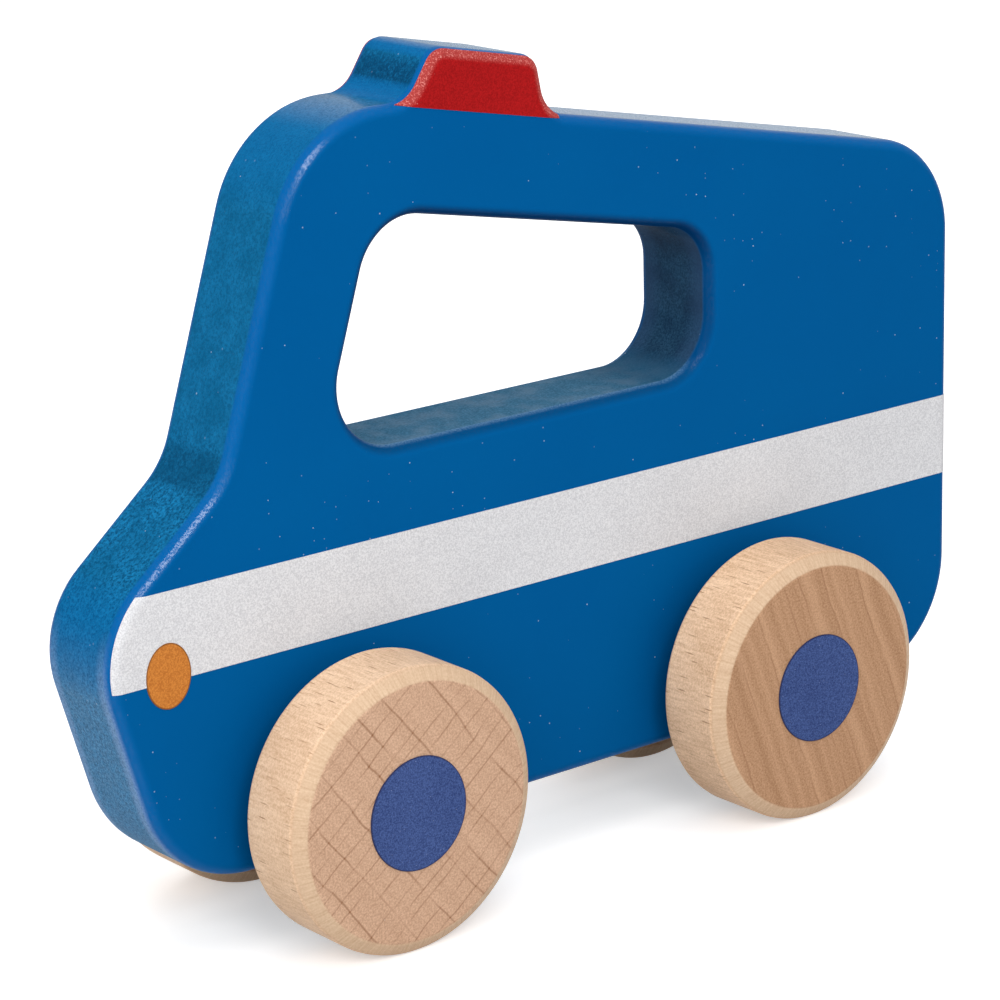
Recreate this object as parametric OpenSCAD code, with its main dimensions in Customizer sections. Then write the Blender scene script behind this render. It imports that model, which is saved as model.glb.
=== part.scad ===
// Push-along toy van: one painted board with a grip window, on two dowel axles with four turned wheels.
// X points forward, Y to the left and Z up. The origin is on the floor, midway along the body.
// All lengths are in millimetres and all angles in degrees.

/* [Body board] */
// Overall length of the body
body_l = 152.8; // [140:0.2:170]
// Thickness of the board
board_t = 15.4; // [12:0.2:22]
// Round-over along the board's outer edges
edge_r = 1.8; // [0.6:0.1:2.2]
// Corner radius at the foot of the tail
tail_foot_r = 17; // [8:0.2:22]
// Corner radius at the top of the tail
tail_top_r = 15.4; // [6:0.2:20]

/* [Roof and nose] */
// Height of the level roof over the windscreen, above the underside
brow_h = 100; // [96:0.2:110]
// Fall of the long roof from the beacon to the tail
roof_a = 10.9; // [6:0.1:13]
// Corner radius between roof and windscreen
brow_r = 18; // [8:0.2:18.4]
// Lean of the windscreen from upright
screen_a = 17.8; // [12:0.1:26]
// Hollow radius between windscreen and bonnet
scuttle_r = 12.6; // [5:0.2:16]
// Length from the tip of the nose back to the foot of the windscreen
bonnet_l = 19; // [16:0.1:26]
// Fall of the bonnet towards the nose
bonnet_a = 40; // [34:0.1:46]
// Height of the tip of the nose above the underside
nose_h = 31.8; // [26:0.1:36]
// Radius of the nose
nose_r = 14.8; // [8:0.2:18]
// Slope of the chin from upright
chin_a = 15.9; // [8:0.1:20]
// Corner radius at the foot of the chin
chin_r = 17.2; // [8:0.2:20]

/* [Beacon] */
// Length of level roof between the windscreen and the beacon
beacon_gap = 17.5; // [14:0.1:24]
// Length of the beacon's foot along the roof
beacon_l = 24.4; // [20:0.2:30]
// Height of the beacon above the roof line
beacon_h = 7.6; // [6:0.1:11]
// Setback of the beacon's top at its front
beacon_front_rake = 3.2; // [0.5:0.1:4]
// Setback of the beacon's top at its back
beacon_back_rake = 3.1; // [0.5:0.1:4]
// Hollow radius where the beacon meets the roof
beacon_foot_r = 5; // [2:0.1:6]
// Corner radius on top of the beacon
beacon_top_r = 3.2; // [2.4:0.1:4]

/* [Grip window] */
// Height of the window's sill above the underside
sill_h = 54.1; // [48:0.1:58]
// Width of board left between the roof line and the window
roof_bar = 14.7; // [10:0.1:20]
// Width of board left between the windscreen and the window
screen_post = 15.5; // [10:0.1:20]
// Width of board left between the tail and the window
tail_panel = 48.9; // [30:0.1:60]
// Corner radius at the back of the sill
sill_back_r = 8.6; // [4:0.1:10]
// Corner radius at the front of the sill
sill_front_r = 9.1; // [4:0.1:10]
// Corner radius at the back of the window's top
lintel_back_r = 7.3; // [4:0.1:9]
// Corner radius at the front of the window's top
lintel_front_r = 8.9; // [4:0.1:10]
// Round-over along the window's rim
rim_r = 1.8; // [0.3:0.1:2.2]

/* [Wheels and axles] */
// Diameter of a wheel
wheel_d = 40; // [34:0.5:46]
// Thickness of a wheel
wheel_t = 12.2; // [9:0.1:18]
// Width of a wheel's bevel, measured along its radius
bevel_w = 1.9; // [0.5:0.1:4]
// Depth of a wheel's bevel, measured along the axle
bevel_t = 1.3; // [0.3:0.1:3]
// Diameter of an axle
axle_d = 8; // [5:0.1:10]
// Depth of an axle's seat in a wheel
axle_seat = 8; // [4:0.1:8.5]
// Chamfer on the ends of an axle
axle_chamfer = 0.6; // [0.2:0.1:1.5]
// Place of the rear axle, as a share of the body's length from the tail
rear_axle_share = 0.279; // [0.2:0.001:0.34]
// Place of the front axle, as a share of the body's length from the nose
front_axle_share = 0.241; // [0.2:0.001:0.28]
// Height of the axles above the underside
axle_h = 8.9; // [7:0.1:12]
// Diameter of a spacer washer
washer_d = 16; // [13:0.1:24]
// Thickness of a spacer washer
washer_t = 2.9; // [1:0.1:4]

/* [Prints] */
// Thickness of a printed layer
print_t = 0.2; // [0.1:0.05:0.4]
// Height of the stripe's lower edge above the underside
stripe_h = 29.9; // [24:0.1:34]
// Width of the stripe
stripe_w = 12.2; // [8:0.1:16]
// Width of the lamp dot, along the body
lamp_w = 7; // [4:0.1:10]
// Height of the lamp dot
lamp_l = 9; // [5:0.1:12]
// Distance from the tip of the nose to the middle of the lamp dot
lamp_setback = 9; // [8.5:0.1:16]
// Height of the lamp dot's middle above the underside
lamp_h = 30.7; // [25:0.1:38]
// Diameter of the dot on a wheel's hub
hub_d = 15.9; // [10:0.1:22]
// How far the red print on the beacon runs down past the roof line
beacon_drop = 0.6; // [0:0.1:1]

/* [Hidden] */

// Running clearance of an axle in the board, on the radius
running_gap = 0.1;
// Glue line of an axle in a wheel, on the radius and at the end
glue_gap = 0.05;
// Clearance of a washer round its axle, on the radius
washer_gap = 0.15;
// Play on each face of a washer
washer_play = 0.3;
// Gap between two prints that lie side by side
print_gap = 0.05;
// How far a cut runs past the face it cuts
cut_over = 1;
// Largest turn between two points of a rounded corner
corner_step_a = 7.5;
// Flat facets across a round-over
round_facets = 3;
// How far a round-over's cutter stands clear of the board
skim = 0.3;
// Points round the lamp dot
lamp_sides = 48;
// Sides of a round piece
$fn = 96;

board_blue = [0.02, 0.33, 0.58];
stripe_white = [0.87, 0.87, 0.87];
beacon_red = [0.72, 0.13, 0.14];
lamp_orange = [0.80, 0.49, 0.19];
hub_blue = [0.23, 0.29, 0.58];
beech = [0.87, 0.72, 0.55];
dowel_pale = [0.90, 0.79, 0.62];
washer_tan = [0.80, 0.66, 0.48];

side_y = board_t / 2;
wheel_inner_y = side_y + washer_t + 2 * washer_play;
axle_z = wheel_d / 2;
belly_z = axle_z - axle_h;
nose_x = body_l / 2;
tail_x = -body_l / 2;
rear_axle_x = tail_x + rear_axle_share * body_l;
front_axle_x = nose_x - front_axle_share * body_l;
screen_heading = 90 + screen_a;
roof_heading = 180 + roof_a;
bonnet_heading = 180 - bonnet_a;
chin_heading = 90 - chin_a;

// Side view geometry, in X and Z

function along(a) = [cos(a), sin(a)];

function unit(v) = v / norm(v);

// Where the line through p at angle a meets the line through q at angle b
function meet(p, a, q, b) = p + along(a) * cross(q - p, along(b)) / cross(along(a), along(b));

// A path is a closed list of corners, each [x, z, radius], running anticlockwise
function at(path, i) = path[(i + len(path)) % len(path)];

function spot(path, i) = [at(path, i)[0], at(path, i)[1]];

function edge(path, i) = spot(path, i + 1) - spot(path, i);

// Turn of the path at a corner, positive to the left
function turn(path, i) =
    let (u = edge(path, i - 1), v = edge(path, i))
    atan2(cross(u, v), u * v);

// How far a corner's rounding reaches along its two edges
function reach(path, i) = at(path, i)[2] * tan(abs(turn(path, i)) / 2);

// Share of a corner's radius that its two edges have room for
function room_share(path, i) = min(
    1,
    norm(edge(path, i - 1)) / (reach(path, i - 1) + reach(path, i)),
    norm(edge(path, i)) / (reach(path, i) + reach(path, i + 1))
);

// Points round one corner, each with its outward step. A lead share of zero puts them on the rounding.
// A lead share of one half puts them half a facet on and clear of it, so that the edges between them touch it.
function corner_points(path, i, lead_share) =
    let (
        a = turn(path, i),
        r = at(path, i)[2] * room_share(path, i),
        u = unit(edge(path, i - 1)),
        outward = [u[1], -u[0]],
        start = spot(path, i) - u * r * tan(abs(a) / 2),
        centre = start - sign(a) * r * outward,
        steps = max(2, ceil(abs(a) / corner_step_a)),
        stretch = 1 / cos(a * lead_share / steps)
    )
    [for (k = [0 : lead_share > 0 ? steps - 1 : steps])
        let (n = stretch * along(atan2(outward[1], outward[0]) + a * (k + lead_share) / steps))
        [centre + sign(a) * r * n, n]];

function outline(path, lead_share) = [for (i = [0 : len(path) - 1]) each corner_points(path, i, lead_share)];

function inset_outline(line, inset) = [for (p = line) p[0] - inset * p[1]];

// Corners of the board, from the foot of the tail along the underside to the nose and back over the roof
nose_centre = [nose_x - nose_r, belly_z + nose_h];
bonnet_spot = nose_centre + nose_r * along(90 - bonnet_a);
chin_spot = nose_centre + nose_r * along(-chin_a);
nose_tip = meet(bonnet_spot, bonnet_heading, chin_spot, chin_heading);
scuttle = meet(bonnet_spot, bonnet_heading, [nose_x - bonnet_l, belly_z], 90);
brow = meet(scuttle, screen_heading, [scuttle[0], belly_z + brow_h], 0);
roof_back = along(roof_heading);
roof_up = along(roof_heading - 90);
beacon_front = brow - [beacon_gap, 0];
beacon_back = beacon_front + beacon_l * roof_back;
beacon_front_top = beacon_front + beacon_front_rake * roof_back + beacon_h * roof_up;
beacon_back_top = beacon_back - beacon_back_rake * roof_back + beacon_h * roof_up;
tail_top = meet(beacon_front, roof_heading, [tail_x, belly_z], 90);
chin_foot = meet(chin_spot, chin_heading, [tail_x, belly_z], 0);

board_path = [
    [tail_x, belly_z, tail_foot_r],
    [each chin_foot, chin_r],
    [each nose_tip, nose_r],
    [each scuttle, scuttle_r],
    [each brow, brow_r],
    [each beacon_front, beacon_foot_r],
    [each beacon_front_top, beacon_top_r],
    [each beacon_back_top, beacon_top_r],
    [each beacon_back, beacon_foot_r],
    [each tail_top, tail_top_r]
];

// Corners of the grip window: its top follows the roof and its front follows the windscreen
lintel_spot = beacon_front - roof_bar * roof_up;
post_spot = brow + screen_post * along(screen_heading + 90);
window_back_x = tail_x + tail_panel;
sill_z = belly_z + sill_h;
sill_front = meet(post_spot, screen_heading, [tail_x, sill_z], 0);
lintel_front = meet(post_spot, screen_heading, lintel_spot, roof_heading);
lintel_back = meet(lintel_spot, roof_heading, [window_back_x, sill_z], 90);

window_path = [
    [window_back_x, sill_z, sill_back_r],
    [each sill_front, sill_front_r],
    [each lintel_front, lintel_front_r],
    [each lintel_back, lintel_back_r]
];

board_line = outline(board_path, 0);
window_line = outline(window_path, 0);
board_rim = outline(board_path, 1 / 2);
window_rim = outline(window_path, 1 / 2);

// The same outline seen from its other side, as the edge of what surrounds it
function turned(line) = [for (i = [len(line) - 1 : -1 : 0]) [line[i][0], -line[i][1]]];

// Section of a round-over's cutter, each point [out from the edge, up from the face]: facets that touch
// the round-over of radius r, then a corner that stands clear of the board
function cutter_section(r) =
    let (step_a = 90 / (round_facets + 1))
    concat(
        [[skim, (r - (skim + r) * cos(step_a)) / sin(step_a) - r]],
        [for (k = [1 : round_facets - 1]) [-r, -r] + r / cos(step_a / 2) * along(step_a * (k + 1 / 2))],
        [[(r - (skim + r) * cos(step_a)) / sin(step_a) - r, skim]],
        [[skim, skim]]
    );

// A closed tube along an outline on the board's left face, which takes the sharp edge off
module edge_cutter(line, r) {
    section = cutter_section(r);
    m = len(section);
    n = len(line);
    points = [for (p = line) each [for (s = section)
        let (q = p[0] + s[0] * p[1])
        [q[0], side_y + s[1], q[1]]]];
    faces = [for (i = [0 : n - 1], j = [0 : m - 1])
        let (a = i * m, b = (i + 1) % n * m, k = (j + 1) % m)
        [a + j, a + k, b + k, b + j]];
    polyhedron(points, faces, convexity = 10);
}

// A plate of a side view outline, standing in Y from a back face y
module plate(points, y, t) {
    translate([0, y + t, 0])
        rotate([90, 0, 0])
            linear_extrude(t)
                polygon(points);
}

// Turns a piece built along Z onto the Y axis, at a place in the side view
module across(x, y, z) {
    translate([x, y, z])
        rotate([-90, 0, 0])
            children();
}

// Places a left-hand piece on either side: 1 is the left, -1 the right
module on_side(side) {
    if (side > 0) children();
    else mirror([0, 1, 0]) children();
}

module body() {
    color(board_blue)
        difference() {
            plate(inset_outline(board_line, 0), -side_y, board_t);
            plate(inset_outline(window_line, 0), -side_y - cut_over, board_t + 2 * cut_over);
            for (side = [1, -1])
                on_side(side) {
                    edge_cutter(board_rim, edge_r);
                    edge_cutter(turned(window_rim), rim_r);
                }
            for (x = [front_axle_x, rear_axle_x])
                across(x, -side_y - cut_over, axle_z)
                    cylinder(r = axle_d / 2 + running_gap, h = board_t + 2 * cut_over);
        }
}

// A printed layer over the flat of the board's left face
module face_print() {
    plate(inset_outline(board_line, edge_r), side_y, print_t);
}

// An upright oval plate at the lamp's place, larger than the dot by a margin all round
module lamp_plate(margin, y, h) {
    across(nose_x - lamp_setback, y, belly_z + lamp_h)
        linear_extrude(h)
            polygon([for (k = [1 : lamp_sides])
                let (a = 360 * k / lamp_sides)
                [(lamp_w / 2 + margin) * cos(a), (lamp_l / 2 + margin) * sin(a)]]);
}

module stripe(side) {
    color(stripe_white)
        on_side(side)
            difference() {
                intersection() {
                    face_print();
                    translate([tail_x, side_y - cut_over, belly_z + stripe_h])
                        cube([body_l, print_t + 2 * cut_over, stripe_w]);
                }
                lamp_plate(print_gap, side_y - cut_over, print_t + 2 * cut_over);
            }
}

module lamp_print(side) {
    color(lamp_orange)
        on_side(side)
            lamp_plate(0, side_y, print_t);
}

module beacon_print(side) {
    color(beacon_red)
        on_side(side)
            intersection() {
                face_print();
                translate([beacon_back[0], side_y - cut_over, beacon_back[1]])
                    rotate([0, -roof_a, 0])
                        translate([-beacon_foot_r, 0, -beacon_drop])
                            cube([
                                beacon_l + 2 * beacon_foot_r,
                                print_t + 2 * cut_over,
                                beacon_drop + 2 * beacon_h
                            ]);
            }
}

module axle(x) {
    length = 2 * (wheel_inner_y + axle_seat - glue_gap);
    r = axle_d / 2;
    color(dowel_pale)
        across(x, -length / 2, axle_z)
            rotate_extrude()
                polygon([
                    [0, 0],
                    [r - axle_chamfer, 0],
                    [r, axle_chamfer],
                    [r, length - axle_chamfer],
                    [r - axle_chamfer, length],
                    [0, length]
                ]);
}

module wheel(x, side) {
    r = wheel_d / 2;
    bore_r = axle_d / 2 + glue_gap;
    color(beech)
        on_side(side)
            across(x, wheel_inner_y, axle_z)
                rotate_extrude()
                    polygon([
                        [bore_r, 0],
                        [r - bevel_w, 0],
                        [r, bevel_t],
                        [r, wheel_t - bevel_t],
                        [r - bevel_w, wheel_t],
                        [0, wheel_t],
                        [0, axle_seat],
                        [bore_r, axle_seat]
                    ]);
}

module hub_print(x, side) {
    color(hub_blue)
        on_side(side)
            across(x, wheel_inner_y + wheel_t, axle_z)
                cylinder(d = hub_d, h = print_t);
}

module washer(x, side) {
    color(washer_tan)
        on_side(side)
            across(x, side_y + washer_play, axle_z)
                difference() {
                    cylinder(d = washer_d, h = washer_t);
                    translate([0, 0, -cut_over])
                        cylinder(r = axle_d / 2 + washer_gap, h = washer_t + 2 * cut_over);
                }
}

body();
stripe(1);  // stripe_left
stripe(-1);  // stripe_right
beacon_print(1);  // beacon_print_left
beacon_print(-1);  // beacon_print_right
lamp_print(1);  // lamp_print_left
lamp_print(-1);  // lamp_print_right
axle(front_axle_x);  // front_axle
axle(rear_axle_x);  // rear_axle
wheel(front_axle_x, 1);  // wheel_front_left
wheel(front_axle_x, -1);  // wheel_front_right
wheel(rear_axle_x, 1);  // wheel_rear_left
wheel(rear_axle_x, -1);  // wheel_rear_right
hub_print(front_axle_x, 1);  // hub_print_front_left
hub_print(front_axle_x, -1);  // hub_print_front_right
hub_print(rear_axle_x, 1);  // hub_print_rear_left
hub_print(rear_axle_x, -1);  // hub_print_rear_right
washer(front_axle_x, 1);  // washer_front_left
washer(front_axle_x, -1);  // washer_front_right
washer(rear_axle_x, 1);  // washer_rear_left
washer(rear_axle_x, -1);  // washer_rear_right
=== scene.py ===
# %% [markdown]
# # A wooden push-along van
# The toy is one painted board, cut to the outline of a van, with a grip window through it.
# Two dowel axles pass through the board, and four turned beech wheels are glued to their ends.
# The stripe, the red panel, the lamp dot and the hub dots are printed on.
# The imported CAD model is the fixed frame: it says where everything is, and this lesson
# builds the pieces that are seen, in metres and in the same place.

# %% Load the frame
import math

import bmesh
import bpy
from mathutils import Matrix, Vector


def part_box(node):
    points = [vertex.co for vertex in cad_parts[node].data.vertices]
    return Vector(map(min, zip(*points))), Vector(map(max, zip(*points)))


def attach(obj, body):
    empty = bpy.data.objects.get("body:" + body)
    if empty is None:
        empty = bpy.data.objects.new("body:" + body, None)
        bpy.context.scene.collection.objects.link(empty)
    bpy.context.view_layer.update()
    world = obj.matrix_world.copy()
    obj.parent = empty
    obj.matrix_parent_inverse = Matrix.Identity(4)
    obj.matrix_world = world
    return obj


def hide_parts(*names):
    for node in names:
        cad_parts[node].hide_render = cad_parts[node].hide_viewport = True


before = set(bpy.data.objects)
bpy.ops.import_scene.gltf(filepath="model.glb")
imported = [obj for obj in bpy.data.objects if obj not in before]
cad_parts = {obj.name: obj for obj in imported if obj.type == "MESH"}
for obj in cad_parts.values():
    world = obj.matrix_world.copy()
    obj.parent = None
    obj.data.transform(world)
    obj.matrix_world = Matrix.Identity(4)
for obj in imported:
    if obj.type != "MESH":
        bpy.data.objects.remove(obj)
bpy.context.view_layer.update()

MM = 0.001
scene = bpy.context.scene

# %% [markdown]
# ## The camera
# A product photograph is taken with a long lens, which keeps the far end of the toy nearly as large
# as the near end. The camera stands in front of the toy's left side, a little above it.
# Its place could be set by dragging it about, but three angles and a distance say it exactly:
# where it stands round the toy, how high it looks down from, and how far it is rolled.

# %% Place the camera
CAMERA_TURN = math.radians(51.185)
CAMERA_RISE = math.radians(16.206)
CAMERA_ROLL = math.radians(-1.467)
CAMERA_DISTANCE = 502.42 * MM
CAMERA_AIM = Vector((5.57, 0, 51.31)) * MM
CAMERA_LENS = 128.93
SENSOR = 36


def direction(turn, rise):
    """The unit vector that points from the toy at a turn round it and a rise above the floor."""
    return Vector((math.cos(rise) * math.cos(turn), math.cos(rise) * math.sin(turn), math.sin(rise)))


camera_data = bpy.data.cameras.new("photo_camera")
camera_data.lens = CAMERA_LENS
camera_data.sensor_width = SENSOR
camera = bpy.data.objects.new("photo_camera", camera_data)
scene.collection.objects.link(camera)
towards_camera = direction(CAMERA_TURN, CAMERA_RISE)
level = towards_camera.to_track_quat("Z", "Y").to_matrix().to_4x4()
camera.matrix_world = (
    Matrix.Translation(CAMERA_AIM + CAMERA_DISTANCE * towards_camera)
    @ level
    @ Matrix.Rotation(CAMERA_ROLL, 4, "Z")
)
scene.camera = camera
print("camera at", [round(c, 3) for c in camera.matrix_world.translation])

# %% [markdown]
# ## Floor and surround
# The photograph has a white ground and hardly a shadow. One white floor could do, but it would throw so
# much light back that the toy's lower half would be as bright as its roof. So there are two sheets.
# The floor is what the camera sees, and it lights nothing. A grey card just below it is what the toy
# sees: it throws some light back, and less where the toy shades it.
# The colours are shown as they are, without a film curve, because print and paint colours are known.

# %% Make the surround, the floor and the card
FLOOR_SIZE = 6.0
CARD_DEPTH = 0.2 * MM
SURROUND_STRENGTH = 0.66

scene.view_settings.view_transform = "Standard"
surround = bpy.data.worlds.new("white_surround")
scene.world = surround
surround.use_nodes = True
background = surround.node_tree.nodes["Background"]
background.inputs["Color"].default_value = (1, 1, 1, 1)
background.inputs["Strength"].default_value = SURROUND_STRENGTH


def ground(name, height):
    """A level sheet that belongs to the studio, not to the toy."""
    shape = bmesh.new()
    bmesh.ops.create_grid(shape, x_segments=2, y_segments=2, size=FLOOR_SIZE / 2)
    bmesh.ops.translate(shape, vec=(0, 0, height), verts=shape.verts)
    mesh = bpy.data.meshes.new(name)
    shape.to_mesh(mesh)
    shape.free()
    sheet = bpy.data.objects.new(name, mesh)
    scene.collection.objects.link(sheet)
    return sheet


floor = ground("floor", 0)
floor.visible_diffuse = False
floor.visible_shadow = False
card = ground("grey_card", -CARD_DEPTH)
card.visible_camera = False
print("studio sheets:", floor.name, card.name)

# %% [markdown]
# ## Studio light
# Soft boxes are area lamps. Four of them, beside the toy, ahead of it, above it and at its back, light it
# without being seen in its gloss, where their outlines would show. The fifth does the opposite: it lights
# nothing, and is seen only as the thin streak on the rounded edge of the bonnet and the brow.
# It follows the way that the edge turns, and it hangs high, so that the flat roof doesn't mirror it to
# someone who looks from the other side.

# %% Hang the soft boxes
# Name, turn and rise in degrees, distance and size in metres, watts, and spin in degrees.
LIGHTING_BOXES = [
    ("side_soft_box", 64, 32, 0.7, (0.3, 0.3), 1.75),
    ("front_soft_box", 28, 25, 0.8, (0.5, 0.5), 1.7),
    ("top_soft_box", 60, 75, 0.9, (0.6, 0.6), 1.8),
    ("fill_soft_box", -115, 30, 0.8, (0.5, 0.5), 1.6),
]
STREAK_BOX = ("streak_box", 75.4, 42, 0.69, (0.53, 0.26), 3.0, -51)


def soft_box(name, turn, rise, distance, size, watts, spin=0):
    """A rectangular area lamp that faces the toy, spun about the line to it."""
    lamp = bpy.data.lights.new(name, "AREA")
    lamp.shape = "RECTANGLE"
    lamp.size, lamp.size_y = size
    lamp.energy = watts
    box = bpy.data.objects.new(name, lamp)
    scene.collection.objects.link(box)
    towards = direction(math.radians(turn), math.radians(rise))
    spun = Matrix.Rotation(math.radians(spin), 3, "Z")
    box.location = CAMERA_AIM + distance * towards
    box.rotation_euler = (towards.to_track_quat("Z", "Y").to_matrix() @ spun).to_euler()
    return box


for box_values in LIGHTING_BOXES:
    soft_box(*box_values).visible_glossy = False
soft_box(*STREAK_BOX).visible_diffuse = False

# %% [markdown]
# ## Writing a finish as an expression
# A material is a graph of nodes, and graphs are slow to read in code. So one class wraps a socket, and
# its operators add the Math nodes: `1 - mask * 0.5` reads as it is meant.

# %% A socket that can be calculated with
class Link:
    """One output socket of a finish. Arithmetic on it adds Math nodes."""

    def __init__(self, finish, socket):
        self.finish = finish
        self.socket = socket

    def math(self, operation, a, b):
        """A Math node on two values."""
        return self.finish.add("ShaderNodeMath", {"operation": operation}, {0: a, 1: b})

    def __add__(self, other):
        return self.math("ADD", self, other)

    __radd__ = __add__

    def __sub__(self, other):
        return self.math("SUBTRACT", self, other)

    def __rsub__(self, other):
        return self.math("SUBTRACT", other, self)

    def __mul__(self, other):
        return self.math("MULTIPLY", self, other)

    __rmul__ = __mul__

    def __lt__(self, other):
        return self.math("LESS_THAN", self, other)

    def __gt__(self, other):
        return self.math("GREATER_THAN", self, other)


print(Link.__name__, "adds a Math node for + - * < and >, also with a number in front")

# %% [markdown]
# The finish itself holds the material. Any node comes from its one method `add`, which sets the node's
# settings first and then its sockets. The other methods are short names for the few patterns that paint,
# ink and wood have in common: soft steps and bands, mixed colours, clouds and scattered dots.

# %% A finish that grows node by node
class Finish:
    """A material whose nodes are added one expression at a time."""

    def __init__(self, name):
        self.material = bpy.data.materials.new(name)
        self.material.use_nodes = True
        self.nodes = self.material.node_tree.nodes
        self.shader = self.nodes["Principled BSDF"]
        self.spot = self.add("ShaderNodeTexCoord", {}, {}, "Object")

    def put(self, socket, value):
        """Links a value to a socket, or sets it there."""
        if isinstance(value, Link):
            self.material.node_tree.links.new(value.socket, socket)
        elif isinstance(value, (tuple, list)) and socket.type == "RGBA":
            socket.default_value = (*value[:3], 1)
        else:
            socket.default_value = value

    def add(self, kind, settings, sockets, out=0):
        """A new node with its settings and sockets, as the link from one of its outputs."""
        node = self.nodes.new(kind)
        for name, value in settings.items():
            setattr(node, name, value)
        for name, value in sockets.items():
            self.put(node.inputs[name], value)
        return Link(self, node.outputs[out])

    def set(self, **sockets):
        """Sets or links sockets of the shader, named with underscores for spaces."""
        for name, value in sockets.items():
            self.put(self.shader.inputs[name.replace("_", " ")], value)

    def value(self, name):
        """A value that the mesh carries at its points."""
        return self.add("ShaderNodeAttribute", {"attribute_name": name}, {}, "Fac")

    def rise(self, value, low, high):
        """A soft step from 0 at low to 1 at high."""
        settings = {"interpolation_type": "SMOOTHSTEP", "clamp": True}
        return self.add("ShaderNodeMapRange", settings, {0: value, 1: low, 2: high})

    def fall(self, value, low, high):
        """A soft step from 1 at low to 0 at high."""
        return 1 - self.rise(value, low, high)

    def band(self, value, low, full, fade, high):
        """A soft band: 0 at low, 1 from full to fade, and 0 again at high."""
        return self.rise(value, low, full) * self.fall(value, fade, high)

    def mix(self, share, a, b):
        """A colour between a and b."""
        settings = {"data_type": "RGBA", "clamp_factor": True}
        return self.add("ShaderNodeMix", settings, {0: share, 6: a, 7: b}, 2)

    def parts(self, vector):
        """The three numbers of a vector."""
        node = self.add("ShaderNodeSeparateXYZ", {}, {0: vector}).socket.node
        return [Link(self, socket) for socket in node.outputs]

    def flat(self, u, v=0.0):
        """A flat spot made of two numbers."""
        return self.add("ShaderNodeCombineXYZ", {}, {"X": u, "Y": v})

    def stretched(self, u, v, size):
        """A flat spot on which a pattern of one unit is drawn out to a size each way."""
        return self.flat(u * (1 / size[0]), v * (1 / size[1]))

    def placed(self, centre=(0, 0, 0), turn=(0, 0, 0), size=(1, 1, 1)):
        """Object coordinates about a centre, turned, with a pattern of one unit made that large."""
        moved = self.add("ShaderNodeVectorMath", {"operation": "SUBTRACT"}, {0: self.spot, 1: centre})
        scale = tuple(1 / s for s in size)
        settings = {"vector_type": "TEXTURE"}
        turned = self.add("ShaderNodeMapping", settings, {"Vector": moved, "Rotation": turn})
        return self.add("ShaderNodeVectorMath", {"operation": "MULTIPLY"}, {0: turned, 1: scale})

    def cloud(self, spot, size, detail=2.0, roughness=0.5):
        """Soft noise with blobs of about a size, as a value round one half."""
        sockets = {"Vector": spot, "Scale": 1 / size, "Detail": detail, "Roughness": roughness}
        return self.add("ShaderNodeTexNoise", {}, sockets, "Fac")

    def cells(self, spot, size, dimensions):
        """Distance to the nearest of some scattered points, and three random numbers of that point."""
        settings = {"voronoi_dimensions": dimensions}
        sockets = {"Vector": spot, "Scale": 1 / size}
        near = self.add("ShaderNodeTexVoronoi", settings, sockets, "Distance")
        return near, self.parts(Link(self, near.socket.node.outputs["Color"]))

    def dots(self, spot, size, radius_share, keep_share, dimensions="3D"):
        """Scattered dots, one at most in each cell of about a size, some of them faint."""
        near, (pick, spread, faint) = self.cells(spot, size, dimensions)
        radius = (0.4 + spread * 0.6) * radius_share
        strength = 0.2 + faint * faint * 0.8
        return self.fall(near, radius * 0.4, radius) * (pick < keep_share) * strength

    def bump(self, height, distance, strength):
        """A normal that follows a height."""
        sockets = {"Height": height, "Distance": distance, "Strength": strength}
        return self.add("ShaderNodeBump", {}, sockets)


def tint(red, green, blue):
    """A screen colour, 0 to 255 each, as the light that a shader needs."""
    def linear(c):
        c = c / 255
        return c / 12.92 if c <= 0.04045 else ((c + 0.055) / 1.055) ** 2.4

    return (linear(red), linear(green), linear(blue))


print("blue paint in linear light:", [round(c, 4) for c in tint(0, 85, 149)])

# %% [markdown]
# The two studio sheets are matt paper. One flat grey would do, but a very soft cloud keeps a large sheet
# from looking like a hole. The floor glows a little, like a light table, so that it stays white.

# %% Finish the floor and the card
PAPER_CLOUD = 0.4
FLOOR_GLOW = 0.38


def paper(name, dark, light, glow):
    """Matt studio paper between two greys."""
    sheet = Finish(name)
    sheet.set(
        Base_Color=sheet.mix(sheet.cloud(sheet.spot, PAPER_CLOUD), (dark,) * 3, (light,) * 3),
        Roughness=0.9,
        Specular_IOR_Level=0.0,
        Emission_Color=(1, 1, 1),
        Emission_Strength=glow,
    )
    return sheet.material


floor.data.materials.append(paper("pale_floor", 0.88, 0.92, FLOOR_GLOW))
card.data.materials.append(paper("grey_card", 0.6, 0.64, 0.0))
print("papers:", floor.active_material.name, card.active_material.name)

# %% [markdown]
# ## The blue paint
# The broad faces of the board are smooth, and the paint on them is an even satin blue with a little
# orange peel and specks of dust. The sawn edges soak up paint: they are mottled, duller and greener,
# because the fibres of the board show. Where the edge is rounded over, the paint is bright and smooth.
# Each of these could be a material of its own, but then their borders would be hard. So there is one
# paint, and the board carries values at its points that the paint reads. `edge_turn` is 0 on a face and 1
# on a sawn edge. `window` is 1 round the grip window. The corners' value is above 0 where the corners were
# sanded smooth and are painted lighter, as painted light, and below 0 in the hollow, which is painted
# darker, as painted shade. `upward` is 1 where an edge faces up.

# %% Patterns of the paint
PEEL = 0.9 * MM
FIBRE = 0.3 * MM
MOTTLE = 0.6 * MM
BLOTCH = 4.0 * MM
DUST = 1.8 * MM
DUST_DRIFT = 22 * MM
BROAD = 25 * MM

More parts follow.
